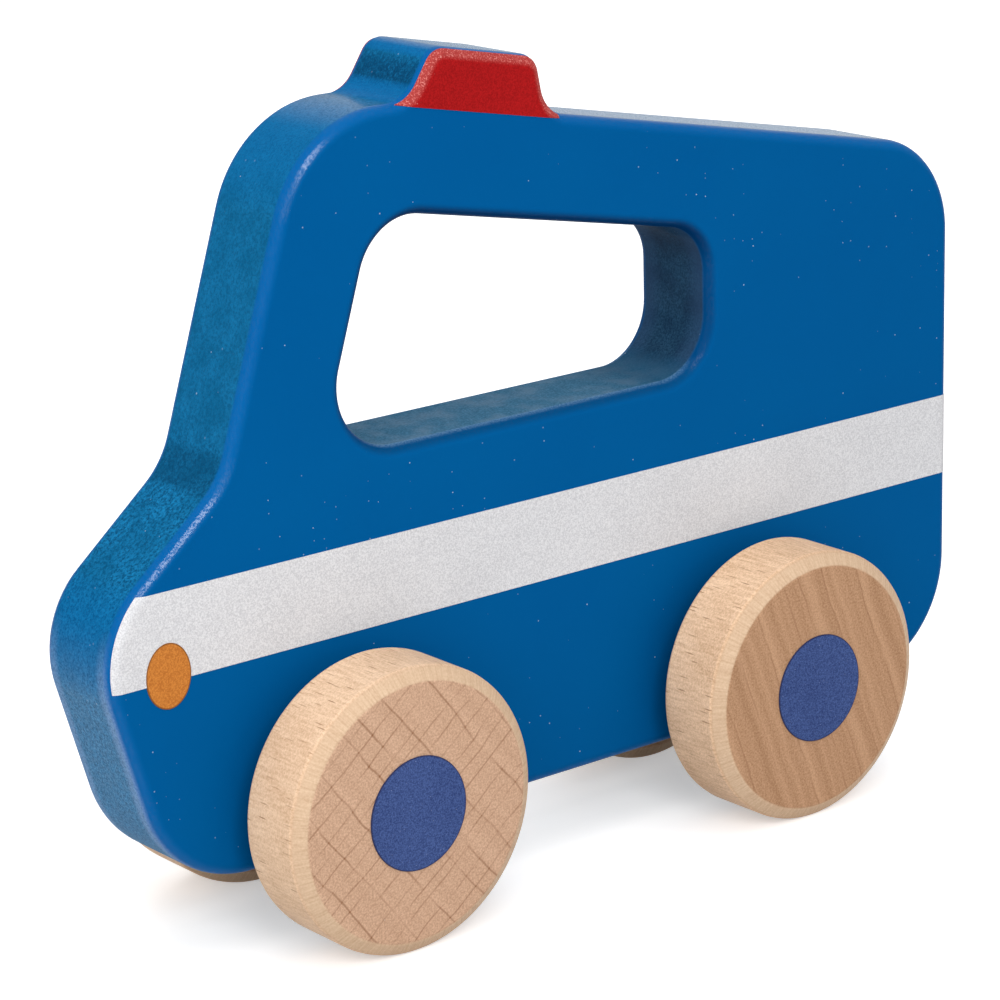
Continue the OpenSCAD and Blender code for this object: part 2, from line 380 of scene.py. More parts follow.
paint = Finish("blue_paint")
turn, window = paint.value("edge_turn"), paint.value("window")
smooth_and_painted_shading, upward = paint.value("smooth_and_painted_shading"), paint.value("upward")
x, y, z = paint.parts(paint.spot)
sawn = paint.rise(turn, 0.8, 1.0)
rounded = paint.rise(turn, 0.05, 0.5) * (1 - sawn)
fibre = paint.cloud(paint.spot, FIBRE, 4.0, 0.7)
grain = paint.rise(fibre, 0.3, 0.72)
glints = paint.rise(fibre, 0.42, 0.6)
mottle = paint.rise(paint.cloud(paint.spot, MOTTLE, 3.0, 0.6), 0.34, 0.66)
blotch = paint.rise(paint.cloud(paint.spot, BLOTCH, 3.0), 0.35, 0.7)
broad = paint.cloud(paint.spot, BROAD)
peel = paint.cloud(paint.spot, PEEL, 1.0)
drift = paint.rise(paint.cloud(paint.spot, DUST_DRIFT), 0.42, 0.62)
face_dust = paint.dots(paint.flat(x, z), DUST, 0.08, 0.03 + drift * 0.17, "2D")
face_dust = face_dust * paint.fall(turn, 0.0, 0.2)
edge_dust = paint.dots(paint.spot, DUST, 0.12, 0.3) * sawn * 0.6
print("paint nodes for patterns:", len(paint.nodes))

# %% [markdown]
# The edge isn't alike all round. The chin's sawn edge is painted paler, a painted sheen, and a line on its
# rounded edge is a painted highlight. The front of the beacon is painted dark, as painted shade. What
# faces up has been rubbed glossy by hands, so it looks pale from a low angle, and its blue is also painted
# a little paler, a painted sheen. The rounded edge shines in a thin line on the bonnet and the brow. Masks
# could be painted by hand, but soft steps along X and Z and across the board's thickness say the same in
# numbers, and they stay sharp at any size of picture.

# %% Places along the outer edge
CHIN_X, CHIN_Z = (58 * MM, 66 * MM), (38 * MM, 50 * MM)
CHIN_LINE_Y = (4.2 * MM, 5.6 * MM, 6.3 * MM, 7.0 * MM)
BEACON_FOOT_X, BEACON_FOOT_Z = (20 * MM, 23 * MM, 27 * MM, 30 * MM), (114 * MM, 116 * MM)
BEACON_FRONT_Z = (105 * MM, 108 * MM, 114.5 * MM, 117 * MM)
FORE_ROOF_X = (0.0, 25 * MM)
BONNET_X, BONNET_Z = (44 * MM, 50 * MM), (49 * MM, 52 * MM, 66 * MM, 69 * MM)
BROW_X, BROW_Z = (22 * MM, 28 * MM), (97.5 * MM, 99.5 * MM, 105.5 * MM, 108 * MM)
ROUGH_SAWN_Z = (62 * MM, 74 * MM)

depth = paint.add("ShaderNodeMath", {"operation": "ABSOLUTE"}, {0: y})
# Above 0: smooth paint on sanded corners, painted lighter as painted light.
sanded_and_painted_light = paint.rise(smooth_and_painted_shading, 0.0, 1.0)
# Below 0: the hollow at the windscreen's foot, painted darker as painted shade.
hollow_painted_shade = paint.rise(smooth_and_painted_shading * -1, 0.0, 1.0)
# The chin: its sawn edge painted paler as painted sheen, and a painted highlight line on its rounded edge.
chin = paint.rise(x, *CHIN_X) * paint.fall(z, *CHIN_Z)
chin_painted_highlight = paint.band(depth, *CHIN_LINE_Y) * chin
beacon_foot = paint.band(x, *BEACON_FOOT_X) * paint.fall(z, *BEACON_FOOT_Z)
# Painted shade: the flat front of the beacon is painted darker.
beacon_front = paint.band(z, *BEACON_FRONT_Z) * paint.fall(upward, 0.55, 0.85)
# Faces up: a real gloss in the coat, and a painted sheen in the colour.
top = paint.rise(upward, 0.86, 1.0) * (1 - paint.rise(x, *FORE_ROOF_X) * 0.3) * (1 - beacon_foot * 0.9)
top_gloss = top * paint.rise(turn, 0.45, 0.9) * (1 - window) * (0.65 + glints * 0.3)
bonnet = paint.rise(x, *BONNET_X) * paint.band(z, *BONNET_Z)
brow = paint.rise(x, *BROW_X) * paint.band(z, *BROW_Z)
shine_line = paint.band(turn, 0.14, 0.26, 0.5, 0.6) * (bonnet + brow) * (1 - window)
rough_sawn = paint.fall(z, *ROUGH_SAWN_Z) + beacon_front
print("paint nodes with the outer edge:", len(paint.nodes))

# %% [markdown]
# Inside the grip window the paint is thin and dull. Its upright ends lie in the shade, and their grey is
# partly the thin paint and partly painted shade. The sill catches some light, and is painted lighter as
# painted light, with pale blotches of painted sheen, a darker back end of painted shade and a painted
# highlight along its rim. The rim is painted darker than the faces, and darker above than below, as
# painted shade. The window's sides lie nearly along the axes, so the same soft steps tell them apart.

# %% Places in the window
SILL_Z, LINTEL_Z = (65.3 * MM, 68 * MM), (80 * MM, 86 * MM)
SILL_END_X = (-26 * MM, -6 * MM)
MOUTH_Y = (2.0 * MM, 5.8 * MM)

sill = paint.fall(z, *SILL_Z)
# Painted shade: the sill's back end is painted darker.
sill_end_painted_shade = paint.fall(x, *SILL_END_X)
# Painted highlight: a paler line along the sill's rim.
sill_painted_highlight = paint.band(turn, 0.55, 0.85, 0.9, 1.0) * sill * window
# Painted shade: the rim is painted darker above.
lintel_painted_shade = paint.rise(z, *LINTEL_Z)
# Painted light: the upright sides are painted lighter towards the mouth of the window.
mouth_painted_light = paint.rise(depth, *MOUTH_Y)
print("paint nodes with the window:", len(paint.nodes))

# %% [markdown]
# Now the colours. A painter would lay a base coat and then glaze over it, and so does this: each line
# mixes a tint into the colour so far, by one of the masks.

# %% Blues of the outer edge and the faces
face_blue = paint.mix(broad, tint(0, 82, 142), tint(0, 88, 148))
round_blue = paint.mix(broad, tint(0, 84, 148), tint(4, 94, 158))
# The sanded corners' smooth blue, painted lighter than the sawn edge as painted light.
sanded_painted_light_blue = paint.mix(grain, tint(0, 88, 146), tint(8, 106, 164))
fibre_tone = 0.5 + (grain * 0.5 + mottle * 0.5 - 0.5) * (0.45 + rough_sawn * 0.55)
fibre_blue = paint.mix(fibre_tone, tint(0, 62, 98), tint(22, 124, 178))
fibre_blue = paint.mix(blotch * 0.5, fibre_blue, tint(0, 80, 120))
# Painted shade: the hollow at the windscreen's foot is painted darker.
fibre_blue = paint.mix(hollow_painted_shade * 0.45, fibre_blue, tint(0, 52, 84))
# Painted shade: the flat front of the beacon is painted darker.
fibre_blue = paint.mix(beacon_front * (0.85 - grain * 0.4), fibre_blue, tint(0, 56, 92))
# Painted sheen: the chin's sawn edge is painted paler.
fibre_blue = paint.mix(chin * (0.14 + grain * 0.44), fibre_blue, tint(116, 156, 190))
# Painted sheen: what faces up is painted a little paler.
fibre_blue = paint.mix(top * grain * 0.25, fibre_blue, tint(150, 180, 212))
# Painted light: the sanded corners get their smooth, lighter blue.
fibre_blue = paint.mix(sanded_and_painted_light * 0.8, fibre_blue, sanded_painted_light_blue)
print("paint nodes with the edge's blues:", len(paint.nodes))

# %% [markdown]
# The window has three blues: its rounded rim, the upright sides behind it and the sill. They could share
# the outer edge's blue, but the real ones are greyer. Light and shade are painted in too: the rim and the
# upright sides are painted darker as painted shade, the sides greyer and lighter towards the mouth of the
# window, and the sill lighter, as painted light.

# %% Blues of the window
# Painted shade: the rim is darker than the faces, and darker still above.
rim_painted_shade_blue = paint.mix(lintel_painted_shade, tint(0, 66, 118), tint(0, 50, 96))
rim_painted_shade_blue = paint.mix(sill, rim_painted_shade_blue, tint(0, 70, 120))
# The upright sides: grey from thin paint, and painted dark as painted shade.
back_grey_and_painted_shade = paint.mix(grain, tint(12, 44, 68), tint(40, 76, 104))
back_grey_and_painted_shade = paint.mix(blotch * 0.5, back_grey_and_painted_shade, tint(10, 34, 60))
back_grey_and_painted_shade = paint.mix(mouth_painted_light * 0.5, back_grey_and_painted_shade, tint(46, 74, 108))
# The sill: painted lighter as painted light, with pale blotches of painted sheen and a darker back end of
# painted shade.
sill_painted_light_blue = paint.mix(grain, tint(24, 80, 110), tint(66, 118, 150))
sill_painted_light_blue = paint.mix(blotch * 0.4, sill_painted_light_blue, tint(104, 128, 150))
sill_painted_light_blue = paint.mix(sill_end_painted_shade * 0.8, sill_painted_light_blue, tint(8, 64, 96))
print("paint nodes with the window's blues:", len(paint.nodes))

# %% [markdown]
# Last, the blues come together on one shader. The gloss is a clear coat, strong only where the edge was
# rubbed or shines, and the bump is orange peel on the faces and fibres on the sawn edge.

# %% The finished paint
PAINT_RELIEF = 0.05 * MM

smooth_blue = paint.mix(rounded, face_blue, paint.mix(window, round_blue, rim_painted_shade_blue))
edge_blue = paint.mix(window, fibre_blue, paint.mix(sill, back_grey_and_painted_shade, sill_painted_light_blue))
coat = paint.mix(sawn, smooth_blue, edge_blue)
# Painted highlight along the sill's rim.
coat = paint.mix(sill_painted_highlight * (0.1 + grain * 0.5), coat, tint(110, 150, 184))
# Painted highlight: a paler line on the chin's rounded edge.
coat = paint.mix(chin_painted_highlight * (0.25 + grain * 0.35), coat, tint(136, 164, 206))
round_gloss = rounded * (1 - window * 0.5) * (0.03 + glints * 0.3)
line_gloss = shine_line * (0.1 + glints * 0.9)
paint.set(
    Base_Color=paint.mix((face_dust + edge_dust) * 0.8, coat, tint(205, 216, 228)),
    Roughness=0.5 + sawn * 0.1 + (fibre - 0.5) * 0.12,
    Specular_IOR_Level=0.01,
    Coat_Weight=round_gloss + line_gloss + sawn * 0.05 + top_gloss,
    Coat_Roughness=0.2,
    Normal=paint.bump(peel * 0.35 * (1 - sawn) + fibre * sawn, PAINT_RELIEF, 0.6),
)
print("paint nodes:", len(paint.nodes))

# %% [markdown]
# ## The board
# The real board is sawn round a template, and a router then rounds its edges over. Here the outline is
# a list of corners, each with a place in the side view, a radius and a value for the paint: above 0 for
# smooth paint painted lighter as painted light, below 0 for a hollow painted darker as painted shade.
# At each corner one point, spun about a centre, draws the rounding, and the same centres serve for every
# line that runs inside the outline: only the radius changes. So the round-over is a stack of such lines,
# joined loop to loop.
# A Bevel modifier could do it too, but it squeezes where the beacon's corners are tight.

# %% Corners of the side view: X, Z and radius in millimetres, and the value for smooth paint and painted shading
BOARD_CORNERS = [
    (-76.4, 11.1, 17.0, 0.3),
    (67.93, 11.1, 17.2, 0.2),
    (78.462, 48.071, 14.8, 0.65),
    # The hollow at the windscreen's foot: below 0, painted shade.
    (57.4, 65.744, 12.6, -1.0),
    (42.838, 111.1, 18.0, 0.6),
    (25.338, 111.1, 5.0, 1.0),
    (20.758, 117.958, 3.2, 1.0),
    (2.985, 114.535, 3.2, 1.0),
    (1.378, 106.486, 5.0, 0.5),
    (-76.4, 91.508, 15.4, 0.4),
]
BEACON_FRONT_FOOT, BEACON_BACK_FOOT = 5, 8
WINDOW_CORNERS = [
    (-27.5, 65.2, 8.6, 0.0),
    (41.295, 65.2, 9.1, 0.0),
    (31.014, 97.223, 8.9, 0.0),
    (-27.5, 85.955, 7.3, 0.0),
]
SIDE_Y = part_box("body")[1].y / MM
print("half of the board's thickness in mm:", round(SIDE_Y, 3))

# %% [markdown]
# A corner's rounding touches both of its sides, so its centre follows from the angle between them.
# A hollow corner turns the other way round, and the sign of the turn takes care of that.

# %% The helper that draws a rounded loop
ARC_STEP = math.radians(3)


def in_frame(spot, y):
    """A place in the side view, in millimetres, as a point of the frame."""
    return Vector((spot[0], y, spot[1])) * MM


def rounding(before, here, after):
    """Start, outward direction, centre and turn of one rounded corner in the side view."""
    spot = Vector(here[:2])
    into = (spot - Vector(before[:2])).normalized()
    onward = (Vector(after[:2]) - spot).normalized()
    swing = math.atan2(into.cross(onward), into.dot(onward))
    outward = Vector((into.y, -into.x))
    start = spot - into * here[2] * math.tan(abs(swing) / 2)
    centre = start - outward * math.copysign(here[2], swing)
    return start, outward, centre, swing


def rounded_loop(bm, corners, y, inset):
    """A closed loop of edges at a place y across the board, inset from the corners' outline."""
    smooth_and_painted_shading_layer = bm.verts.layers.float["smooth_and_painted_shading"]
    upward_layer = bm.verts.layers.float["upward"]
    known = set(bm.edges)
    ends = []
    for k, here in enumerate(corners):
        after = corners[(k + 1) % len(corners)]
        start, outward, centre, swing = rounding(corners[k - 1], here, after)
        drawn = len(bm.verts)
        first = bm.verts.new(in_frame(start - outward * inset, y))
        steps = math.ceil(abs(swing) / ARC_STEP)
        spun = bmesh.ops.spin(
            bm, geom=[first], cent=in_frame(centre, y), axis=(0, -1, 0), angle=swing, steps=steps
        )
        ends.append((first, spun["geom_last"][0]))
        bm.verts.ensure_lookup_table()
        for step, vert in enumerate(bm.verts[drawn:]):
            share = step / steps
            turned_by = swing * share
            # The corner's value for smooth paint, painted light and painted shade, strongest mid-corner.
            vert[smooth_and_painted_shading_layer] = here[3] * math.sqrt(max(0, math.sin(math.pi * share)))
            vert[upward_layer] = outward.y * math.cos(turned_by) + outward.x * math.sin(turned_by)
    for k, (first, _) in enumerate(ends):
        bm.edges.new((ends[k - 1][1], first))
    return [e for e in bm.edges if e not in known]


print("corners:", len(BOARD_CORNERS), "outside and", len(WINDOW_CORNERS), "in the window")

# %% [markdown]
# Each loop is marked with how far it has turned from the face to the sawn edge, for the paint.
# The left loops run from the face to the edge and the right ones back again, so that joining each loop
# to the next makes the whole rim. The bores for the axles are two circles, joined in the same way.

# %% Rims and bores
ROUND_STEPS = 8
BORE_SIDES = 64


def rim_of_loops(bm, corners, radius, into_board, is_window):
    """The rounded rim of an outline, from the left face over the edge to the right face."""
    turn_layer = bm.verts.layers.float["edge_turn"]
    window_layer = bm.verts.layers.float["window"]
    left = [(1, k) for k in range(ROUND_STEPS + 1)]
    right = [(-1, k) for k in range(ROUND_STEPS, -1, -1)]
    loops = []
    for side, k in left + right:
        a = math.pi / 2 * k / ROUND_STEPS
        y = side * (SIDE_Y - radius * (1 - math.cos(a)))
        loop = rounded_loop(bm, corners, y, into_board * radius * (1 - math.sin(a)))
        for vert in {v for e in loop for v in e.verts}:
            vert[turn_layer] = k / ROUND_STEPS
            vert[window_layer] = is_window
        loops.append(loop)
    for near, far in zip(loops, loops[1:]):
        bmesh.ops.bridge_loops(bm, edges=near + far)
    return loops[0], loops[-1]


def bore_loops(bm, node, radius):
    """The two mouths of the bore for an axle, joined by its wall."""
    low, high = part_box(node)
    mouths = []
    for side in (1, -1):
        centre = Vector(((low.x + high.x) / 2, side * SIDE_Y * MM, (low.z + high.z) / 2))
        place = Matrix.Translation(centre) @ Matrix.Rotation(math.pi / 2, 4, "X")
        known = set(bm.edges)
        bmesh.ops.create_circle(bm, cap_ends=False, segments=BORE_SIDES, radius=radius, matrix=place)
        mouths.append([e for e in bm.edges if e not in known])
    bmesh.ops.bridge_loops(bm, edges=mouths[0] + mouths[1])
    return mouths


print("loops in a rim:", 2 * (ROUND_STEPS + 1))

# %% [markdown]
# Every piece ends in the same way: its doubles are merged, its faces turned outwards, and the finished
# mesh is tied to a body of the frame, in place of the CAD node that it shows. Weighted normals make
# large flat faces shade flat, while the small faces of a rounding take the bend.

# %% The helper that finishes a piece
MERGE = 0.5e-6
SHARP_ANGLE = math.radians(30)
FLAT_WEIGHT = 80


def make_piece(name, bm, body, nodes, finish):
    """Cleans a bmesh, makes it an object, and ties it to the frame."""
    bmesh.ops.remove_doubles(bm, verts=bm.verts, dist=MERGE)
    bmesh.ops.recalc_face_normals(bm, faces=bm.faces)
    mesh = bpy.data.meshes.new(name)
    bm.to_mesh(mesh)
    bm.free()
    mesh.materials.append(finish.material)
    mesh.shade_smooth()
    mesh.set_sharp_from_angle(angle=SHARP_ANGLE)
    piece = bpy.data.objects.new(name, mesh)
    scene.collection.objects.link(piece)
    even = piece.modifiers.new("even_shading", "WEIGHTED_NORMAL")
    even.keep_sharp = True
    even.weight = FLAT_WEIGHT
    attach(piece, body)
    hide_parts(*nodes)
    print(f"{name}: {len(mesh.polygons)} faces")
    return piece


print("edges sharper than", round(math.degrees(SHARP_ANGLE)), "degrees stay sharp")

# %% [markdown]
# The board is put together from an outer rim, the window's rim and the two bores. Each face is then
# filled between the four loops that bound it. One polygon with holes can't be drawn, so the fill is made
# of triangles, which don't show on a flat face.

# %% Make the board
EDGE_R = 1.8
RIM_R = 1.8
BORE_R = 4.1

shape = bmesh.new()
for carried in ("edge_turn", "window", "smooth_and_painted_shading", "upward"):
    shape.verts.layers.float.new(carried)
outer = rim_of_loops(shape, BOARD_CORNERS, EDGE_R, 1, 0)
inner = rim_of_loops(shape, WINDOW_CORNERS, RIM_R, -1, 1)
bores = [bore_loops(shape, node, BORE_R * MM) for node in ("front_axle", "rear_axle")]
for k, normal in enumerate(((0, 1, 0), (0, -1, 0))):
    edges = outer[k] + inner[k] + [e for mouths in bores for e in mouths[k]]
    bmesh.ops.triangle_fill(shape, use_beauty=True, edges=edges, normal=normal)
board = make_piece("painted_board", shape, "body", ["body"], paint)

# %% [markdown]
# ## Inks
# A print is a thin film with a fine speckle where the ink is thin. Where it runs over a rounded edge it
# wears, and pale speckles show there: partly the ground through worn ink, partly a painted highlight. A
# small dot of ink dries with a darker brim. An image could show all this, but noise at a few sizes does
# too, and needs no file.

# %% Inks
SPECKLE = 0.22 * MM
INK_BROAD = 12 * MM
INK_RELIEF = 0.02 * MM


def ink(name, light, dark, pore, pore_share, pore_size, worn_and_painted_glint=0.0, brim=(0, 0, 0)):
    """A printed film between two tints, with pores, wear and a painted highlight on a rounded edge, and a
    brim.
    """
    film = Finish(name)
    grain = film.cloud(film.spot, SPECKLE, 3.0, 0.75)
    tone = film.rise(grain, 0.35, 0.65) * 0.7 + film.cloud(film.spot, INK_BROAD) * 0.3
    pores = film.dots(film.spot, pore_size, 0.24, pore_share)
    wear_and_painted_glint = film.rise(film.value("edge_turn"), 0.02, 0.3) * worn_and_painted_glint
    edge = film.rise(film.value("brim"), 0.35, 0.9)
    colour = film.mix(tone, dark, light)
    colour = film.mix(pores * 0.7, colour, pore)
    # Pale speckles on a rounded edge: worn ink, and a painted highlight.
    colour = film.mix(wear_and_painted_glint * (0.15 + film.rise(grain, 0.52, 0.66) * 0.85), colour, pore)
    film.set(
        Base_Color=film.mix(edge * 0.75, colour, brim),
        Roughness=0.5 + (grain - 0.5) * 0.2,
        Specular_IOR_Level=0.03,
        Normal=film.bump(grain, INK_RELIEF, 0.5),
    )
    return film


stripe_ink = ink(
    "stripe_ink", tint(229, 229, 231), tint(186, 186, 190), tint(160, 168, 180),
    pore_share=0.3, pore_size=0.5 * MM,
)
# The red panel's pale speckle on the rounded edge is partly a painted highlight.
beacon_ink = ink(
    "beacon_ink", tint(178, 26, 28), tint(136, 16, 18), tint(238, 170, 160),
    pore_share=0.05, pore_size=0.6 * MM, worn_and_painted_glint=0.6,
)
lamp_ink = ink(
    "lamp_ink", tint(212, 138, 64), tint(168, 96, 40), tint(150, 92, 44),
    pore_share=0.2, pore_size=0.5 * MM, brim=tint(104, 66, 36),
)
hub_ink = ink(
    "hub_ink", tint(78, 100, 154), tint(34, 48, 96), tint(186, 194, 218),
    pore_share=0.95, pore_size=0.5 * MM, brim=tint(40, 40, 70),
)
print("inks:", [f.material.name for f in (stripe_ink, beacon_ink, lamp_ink, hub_ink)])

# %% [markdown]
# ## Stripe and red panel
# The stripe and the red panel are printed on the board, and they run a little way over its rounded
# edge. Drawing each film's outline again would leave gaps, so a film starts as a copy of the board's own
# left skin. Planes cut it to shape, and Solidify's operator gives it a thin body that stands on the paint.

# %% Helpers that cut a film from the board's skin
FILM_T = 0.08 * MM
SUNK = 0.02 * MM
SIDES = {"left": 1, "right": -1}


def left_skin(turn_limit):
    """A copy of the board's left face with its round-over, up to a share of the quarter turn."""
    skin = bmesh.new()
    skin.from_mesh(board.data)
    layer = skin.verts.layers.float["edge_turn"]
    off = [
        f for f in skin.faces
        if f.calc_center_median().y < (SIDE_Y - EDGE_R) * MM
        or max(v[layer] for v in f.verts) > turn_limit
    ]
    bmesh.ops.delete(skin, geom=off, context="FACES")
    return skin


def trim(skin, point, away):
    """Cuts off what lies beyond a plane."""
    everything = skin.verts[:] + skin.edges[:] + skin.faces[:]
    bmesh.ops.bisect_plane(
        skin, geom=everything, dist=MERGE, plane_co=point, plane_no=away, clear_outer=True
    )


def thicken(skin):
    """Gives a cut skin the thin body of a film."""
    for vert in skin.verts:
        vert.co += vert.normal * FILM_T
    bmesh.ops.solidify(skin, geom=skin.faces[:], thickness=FILM_T + SUNK)


def to_side(bm, side_name):
    """Mirrors a left-hand shape if it belongs on the right-hand side."""
    if side_name == "right":
        bmesh.ops.scale(bm, vec=(1, -1, 1), verts=bm.verts)


print("film thickness in mm:", round(FILM_T / MM, 3))

# %% [markdown]
# The stripe is cut level, above and below. The red panel ends on the roof line, just below the beacon's
# foot, and a little way out on the hollow before and behind the beacon, where the ink ran thin.

# %% Make the stripes and the red panels
STRIPE_TURN = 0.51
BEACON_TURN = 0.63
BEACON_DROP = 0.6
BEACON_TAPER = 2.0


def stripe_film():
    """The left stripe, between two level planes."""
    low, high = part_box("stripe_left")
    skin = left_skin(STRIPE_TURN)
    trim(skin, (0, 0, high.z), (0, 0, 1))
    trim(skin, (0, 0, low.z), (0, 0, -1))
    thicken(skin)
    return skin


def beacon_film():
    """The left red panel, above the roof line and between the beacon's two feet."""
    front = Vector(BOARD_CORNERS[BEACON_FRONT_FOOT][:2])
    back = Vector(BOARD_CORNERS[BEACON_BACK_FOOT][:2])
    along = (back - front).normalized()
    down = Vector((-along.y, along.x))
    skin = left_skin(BEACON_TURN)
    trim(skin, in_frame(front + down * BEACON_DROP, 0), (down.x, 0, down.y))
    trim(skin, in_frame(front - along * BEACON_TAPER, 0), (-along.x, 0, -along.y))
    trim(skin, in_frame(back + along * BEACON_TAPER, 0), (along.x, 0, along.y))
    thicken(skin)
    return skin


FILMS = [
    ("stripe", stripe_film, "stripe_ink", stripe_ink),
    ("beacon_print", beacon_film, "beacon_ink", beacon_ink),
]
for side_name in SIDES:
    for kind, film_shape, slot, film_ink in FILMS:
        film = film_shape()
        to_side(film, side_name)
        make_piece(f"{kind}_film_{side_name}", film, "body", [f"{kind}_{side_name}"], film_ink)

# %% [markdown]
# ## Lamp dots
# The lamp is an upright oval dot. A circle scaled on one axis is an oval, its extrusion is the film,
# and a small bevel rounds the ink's edge as it dries. An inset ring marks the brim, where the ink is
# darker: the mark is a value at the points, so it blends from one ring to the next.

# %% Make the lamp dots
LAMP_T = 0.13 * MM
LAMP_SIDES = 72
BRIM = 0.3 * MM


def lamp_film():
    """The left lamp dot, lying on the board."""
    low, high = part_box("lamp_print_left")
    bm = bmesh.new()
    bmesh.ops.create_circle(bm, cap_ends=True, segments=LAMP_SIDES, radius=0.5)
    bmesh.ops.scale(bm, vec=(high.x - low.x, high.z - low.z, 1), verts=bm.verts)
    raised = bmesh.ops.extrude_face_region(bm, geom=bm.faces[:])
    crest = [v for v in raised["geom"] if isinstance(v, bmesh.types.BMVert)]
    bmesh.ops.translate(bm, vec=(0, 0, LAMP_T + SUNK), verts=crest)
    ring = [e for e in bm.edges if all(v in crest for v in e.verts)]
    bmesh.ops.bevel(
        bm, geom=ring, offset=LAMP_T * 0.5, affect="EDGES", segments=2, profile=0.5, material=-1
    )
    crown = max(bm.faces, key=lambda f: f.calc_center_median().z)
    bmesh.ops.inset_individual(bm, faces=[crown], thickness=BRIM)
    brim_layer = bm.verts.layers.float.new("brim")
    inside = set(crown.verts)
    for vert in bm.verts:
        vert[brim_layer] = 0 if vert in inside else 1
    centre = Vector(((low.x + high.x) / 2, SIDE_Y * MM - SUNK, (low.z + high.z) / 2))
    upright = Matrix.Translation(centre) @ Matrix.Rotation(-math.pi / 2, 4, "X")
    bmesh.ops.transform(bm, matrix=upright, verts=bm.verts)
    return bm


for side_name in SIDES:
    dot = lamp_film()
    to_side(dot, side_name)
    make_piece(f"lamp_dot_{side_name}", dot, "body", [f"lamp_print_{side_name}"], lamp_ink)

# %% [markdown]
# ## Beech
# The wheels are cut from a turned rod, so the grain runs along the axle. A wheel's face is end grain, its
# tread is long grain, and its bevel is cut across the fibres. All of it could be one noise, but each of
# these has its own direction, so each gets its own pattern. The distance from the axle tells them apart.

# %% Zones of a wheel
WHEEL_BEVEL_W = 1.9
WHEEL_BEVEL_T = 1.3
TREAD_BLEND = (0.4 * MM, 0.02 * MM)
FACE_BLEND = (0.2 * MM, 0.1 * MM)


def wheel_zones(wood, x, z, radius):
    """The distance from the axle, and the masks of the face, the bevel and the tread."""
    out = wood.add("ShaderNodeVectorMath", {"operation": "LENGTH"}, {0: wood.flat(x, z)}, "Value")
    tread = wood.rise(out, radius - TREAD_BLEND[0], radius - TREAD_BLEND[1])
    face_r = radius - WHEEL_BEVEL_W * MM
    face = wood.fall(out, face_r - FACE_BLEND[0], face_r + FACE_BLEND[1])
    return out, face, (1 - face) * (1 - tread), tread


print("bevel of a wheel in mm:", WHEEL_BEVEL_W, "wide,", WHEEL_BEVEL_T, "deep")

# %% [markdown]
# End grain has growth rings in one direction and rays across them. So far from the heart of the tree both
# are nearly straight, thin lines at uneven distances. A one-way cell pattern draws them, for the walls of
# its cells are such lines. Noise that is drawn out along a line makes it fade in and out slowly.

# %% End grain
# Lines: distance and width in millimetres, and a shift that makes them differ.
RING_LINES = (4.6, 0.22, 3.3)
RAY_LINES = (2.3, 0.19, 7.7)
LINE_WANDER = 1.6 * MM
LINE_FADE = (8 * MM, 1.5 * MM)
RING_BAND = 2.4 * MM
BAND_WANDER = 2 * MM


def grain_lines(wood, across, wander, spacing, width, shift):
    """Thin lines at uneven distances across one direction."""
    settings = {"voronoi_dimensions": "1D", "feature": "DISTANCE_TO_EDGE"}
    w = (across + wander * LINE_WANDER) * (1 / (spacing * MM)) + shift
    sockets = {"W": w, "Scale": 1.0, "Randomness": 0.8}
    gap = wood.add("ShaderNodeTexVoronoi", settings, sockets, "Distance")
    return wood.fall(gap, 0.2 * width / spacing, width / spacing)


def end_grain(wood, centre, grain_turn, wander, ring_share, ray_share):
    """The mask of the rings and rays on a wheel's face, and the soft bands between the rings."""
    u, _, v = wood.parts(wood.placed(centre, (0, grain_turn, 0)))
    ring_fade = wood.rise(wood.cloud(wood.stretched(u, v, LINE_FADE), 1.0, 4.0), 0.25, 0.6)
    ray_fade = wood.rise(wood.cloud(wood.stretched(v, u, LINE_FADE), 1.0, 4.0), 0.33, 0.62)
    rings = grain_lines(wood, v, wander, *RING_LINES) * ring_fade
    rays = grain_lines(wood, u, wander, *RAY_LINES) * ray_fade
    bands = wood.cloud(wood.flat(v + wander * BAND_WANDER), RING_BAND, 3.0)
    return rings * ring_share + rays * ray_share, bands


print("growth rings every", RING_LINES[0], "mm, rays every", RAY_LINES[0], "mm")

# %% [markdown]
# The tread is long grain, with the short dark flecks that make beech easy to tell. Its patterns are laid
# on the tread as if it were unrolled: the way round the wheel is one axis, and the way along the axle is
# the other. The bevel shows fine ticks, which point to the axle.

# %% Long grain and ticks
# Sizes round the wheel, and along the axle or out from it.
GRAIN_SIZE = (0.45 * MM, 5 * MM)
FLECK_SIZE = (0.5 * MM, 5.5 * MM)
TICK_SIZE = (0.32 * MM, 4 * MM)


def long_grain(wood, arc, y, patch):
    """The soft streaks of a tread, and its flecks."""
    streaks = wood.cloud(wood.stretched(arc, y, GRAIN_SIZE), 1.0, 4.0)
    near, (pick, _, _) = wood.cells(wood.stretched(arc, y, FLECK_SIZE), 1.0, "2D")
    flecks = wood.fall(near, 0.08, 0.24) * wood.rise(pick, 0.5, 1.0) * (0.4 + patch * 0.6)
    return streaks, flecks


def bevel_ticks(wood, arc, out):
    """The fine ticks of a bevel."""
    return wood.cloud(wood.stretched(arc, out, TICK_SIZE), 1.0, 3.0)


print("a fleck's cell in mm:", [round(s / MM, 2) for s in FLECK_SIZE])

# %% [markdown]
# One function now makes the beech of a wheel. No two wheels come from the same spot of the rod, so the
# turn of the grain, the two tints of the face and the strength of its lines are given for each.

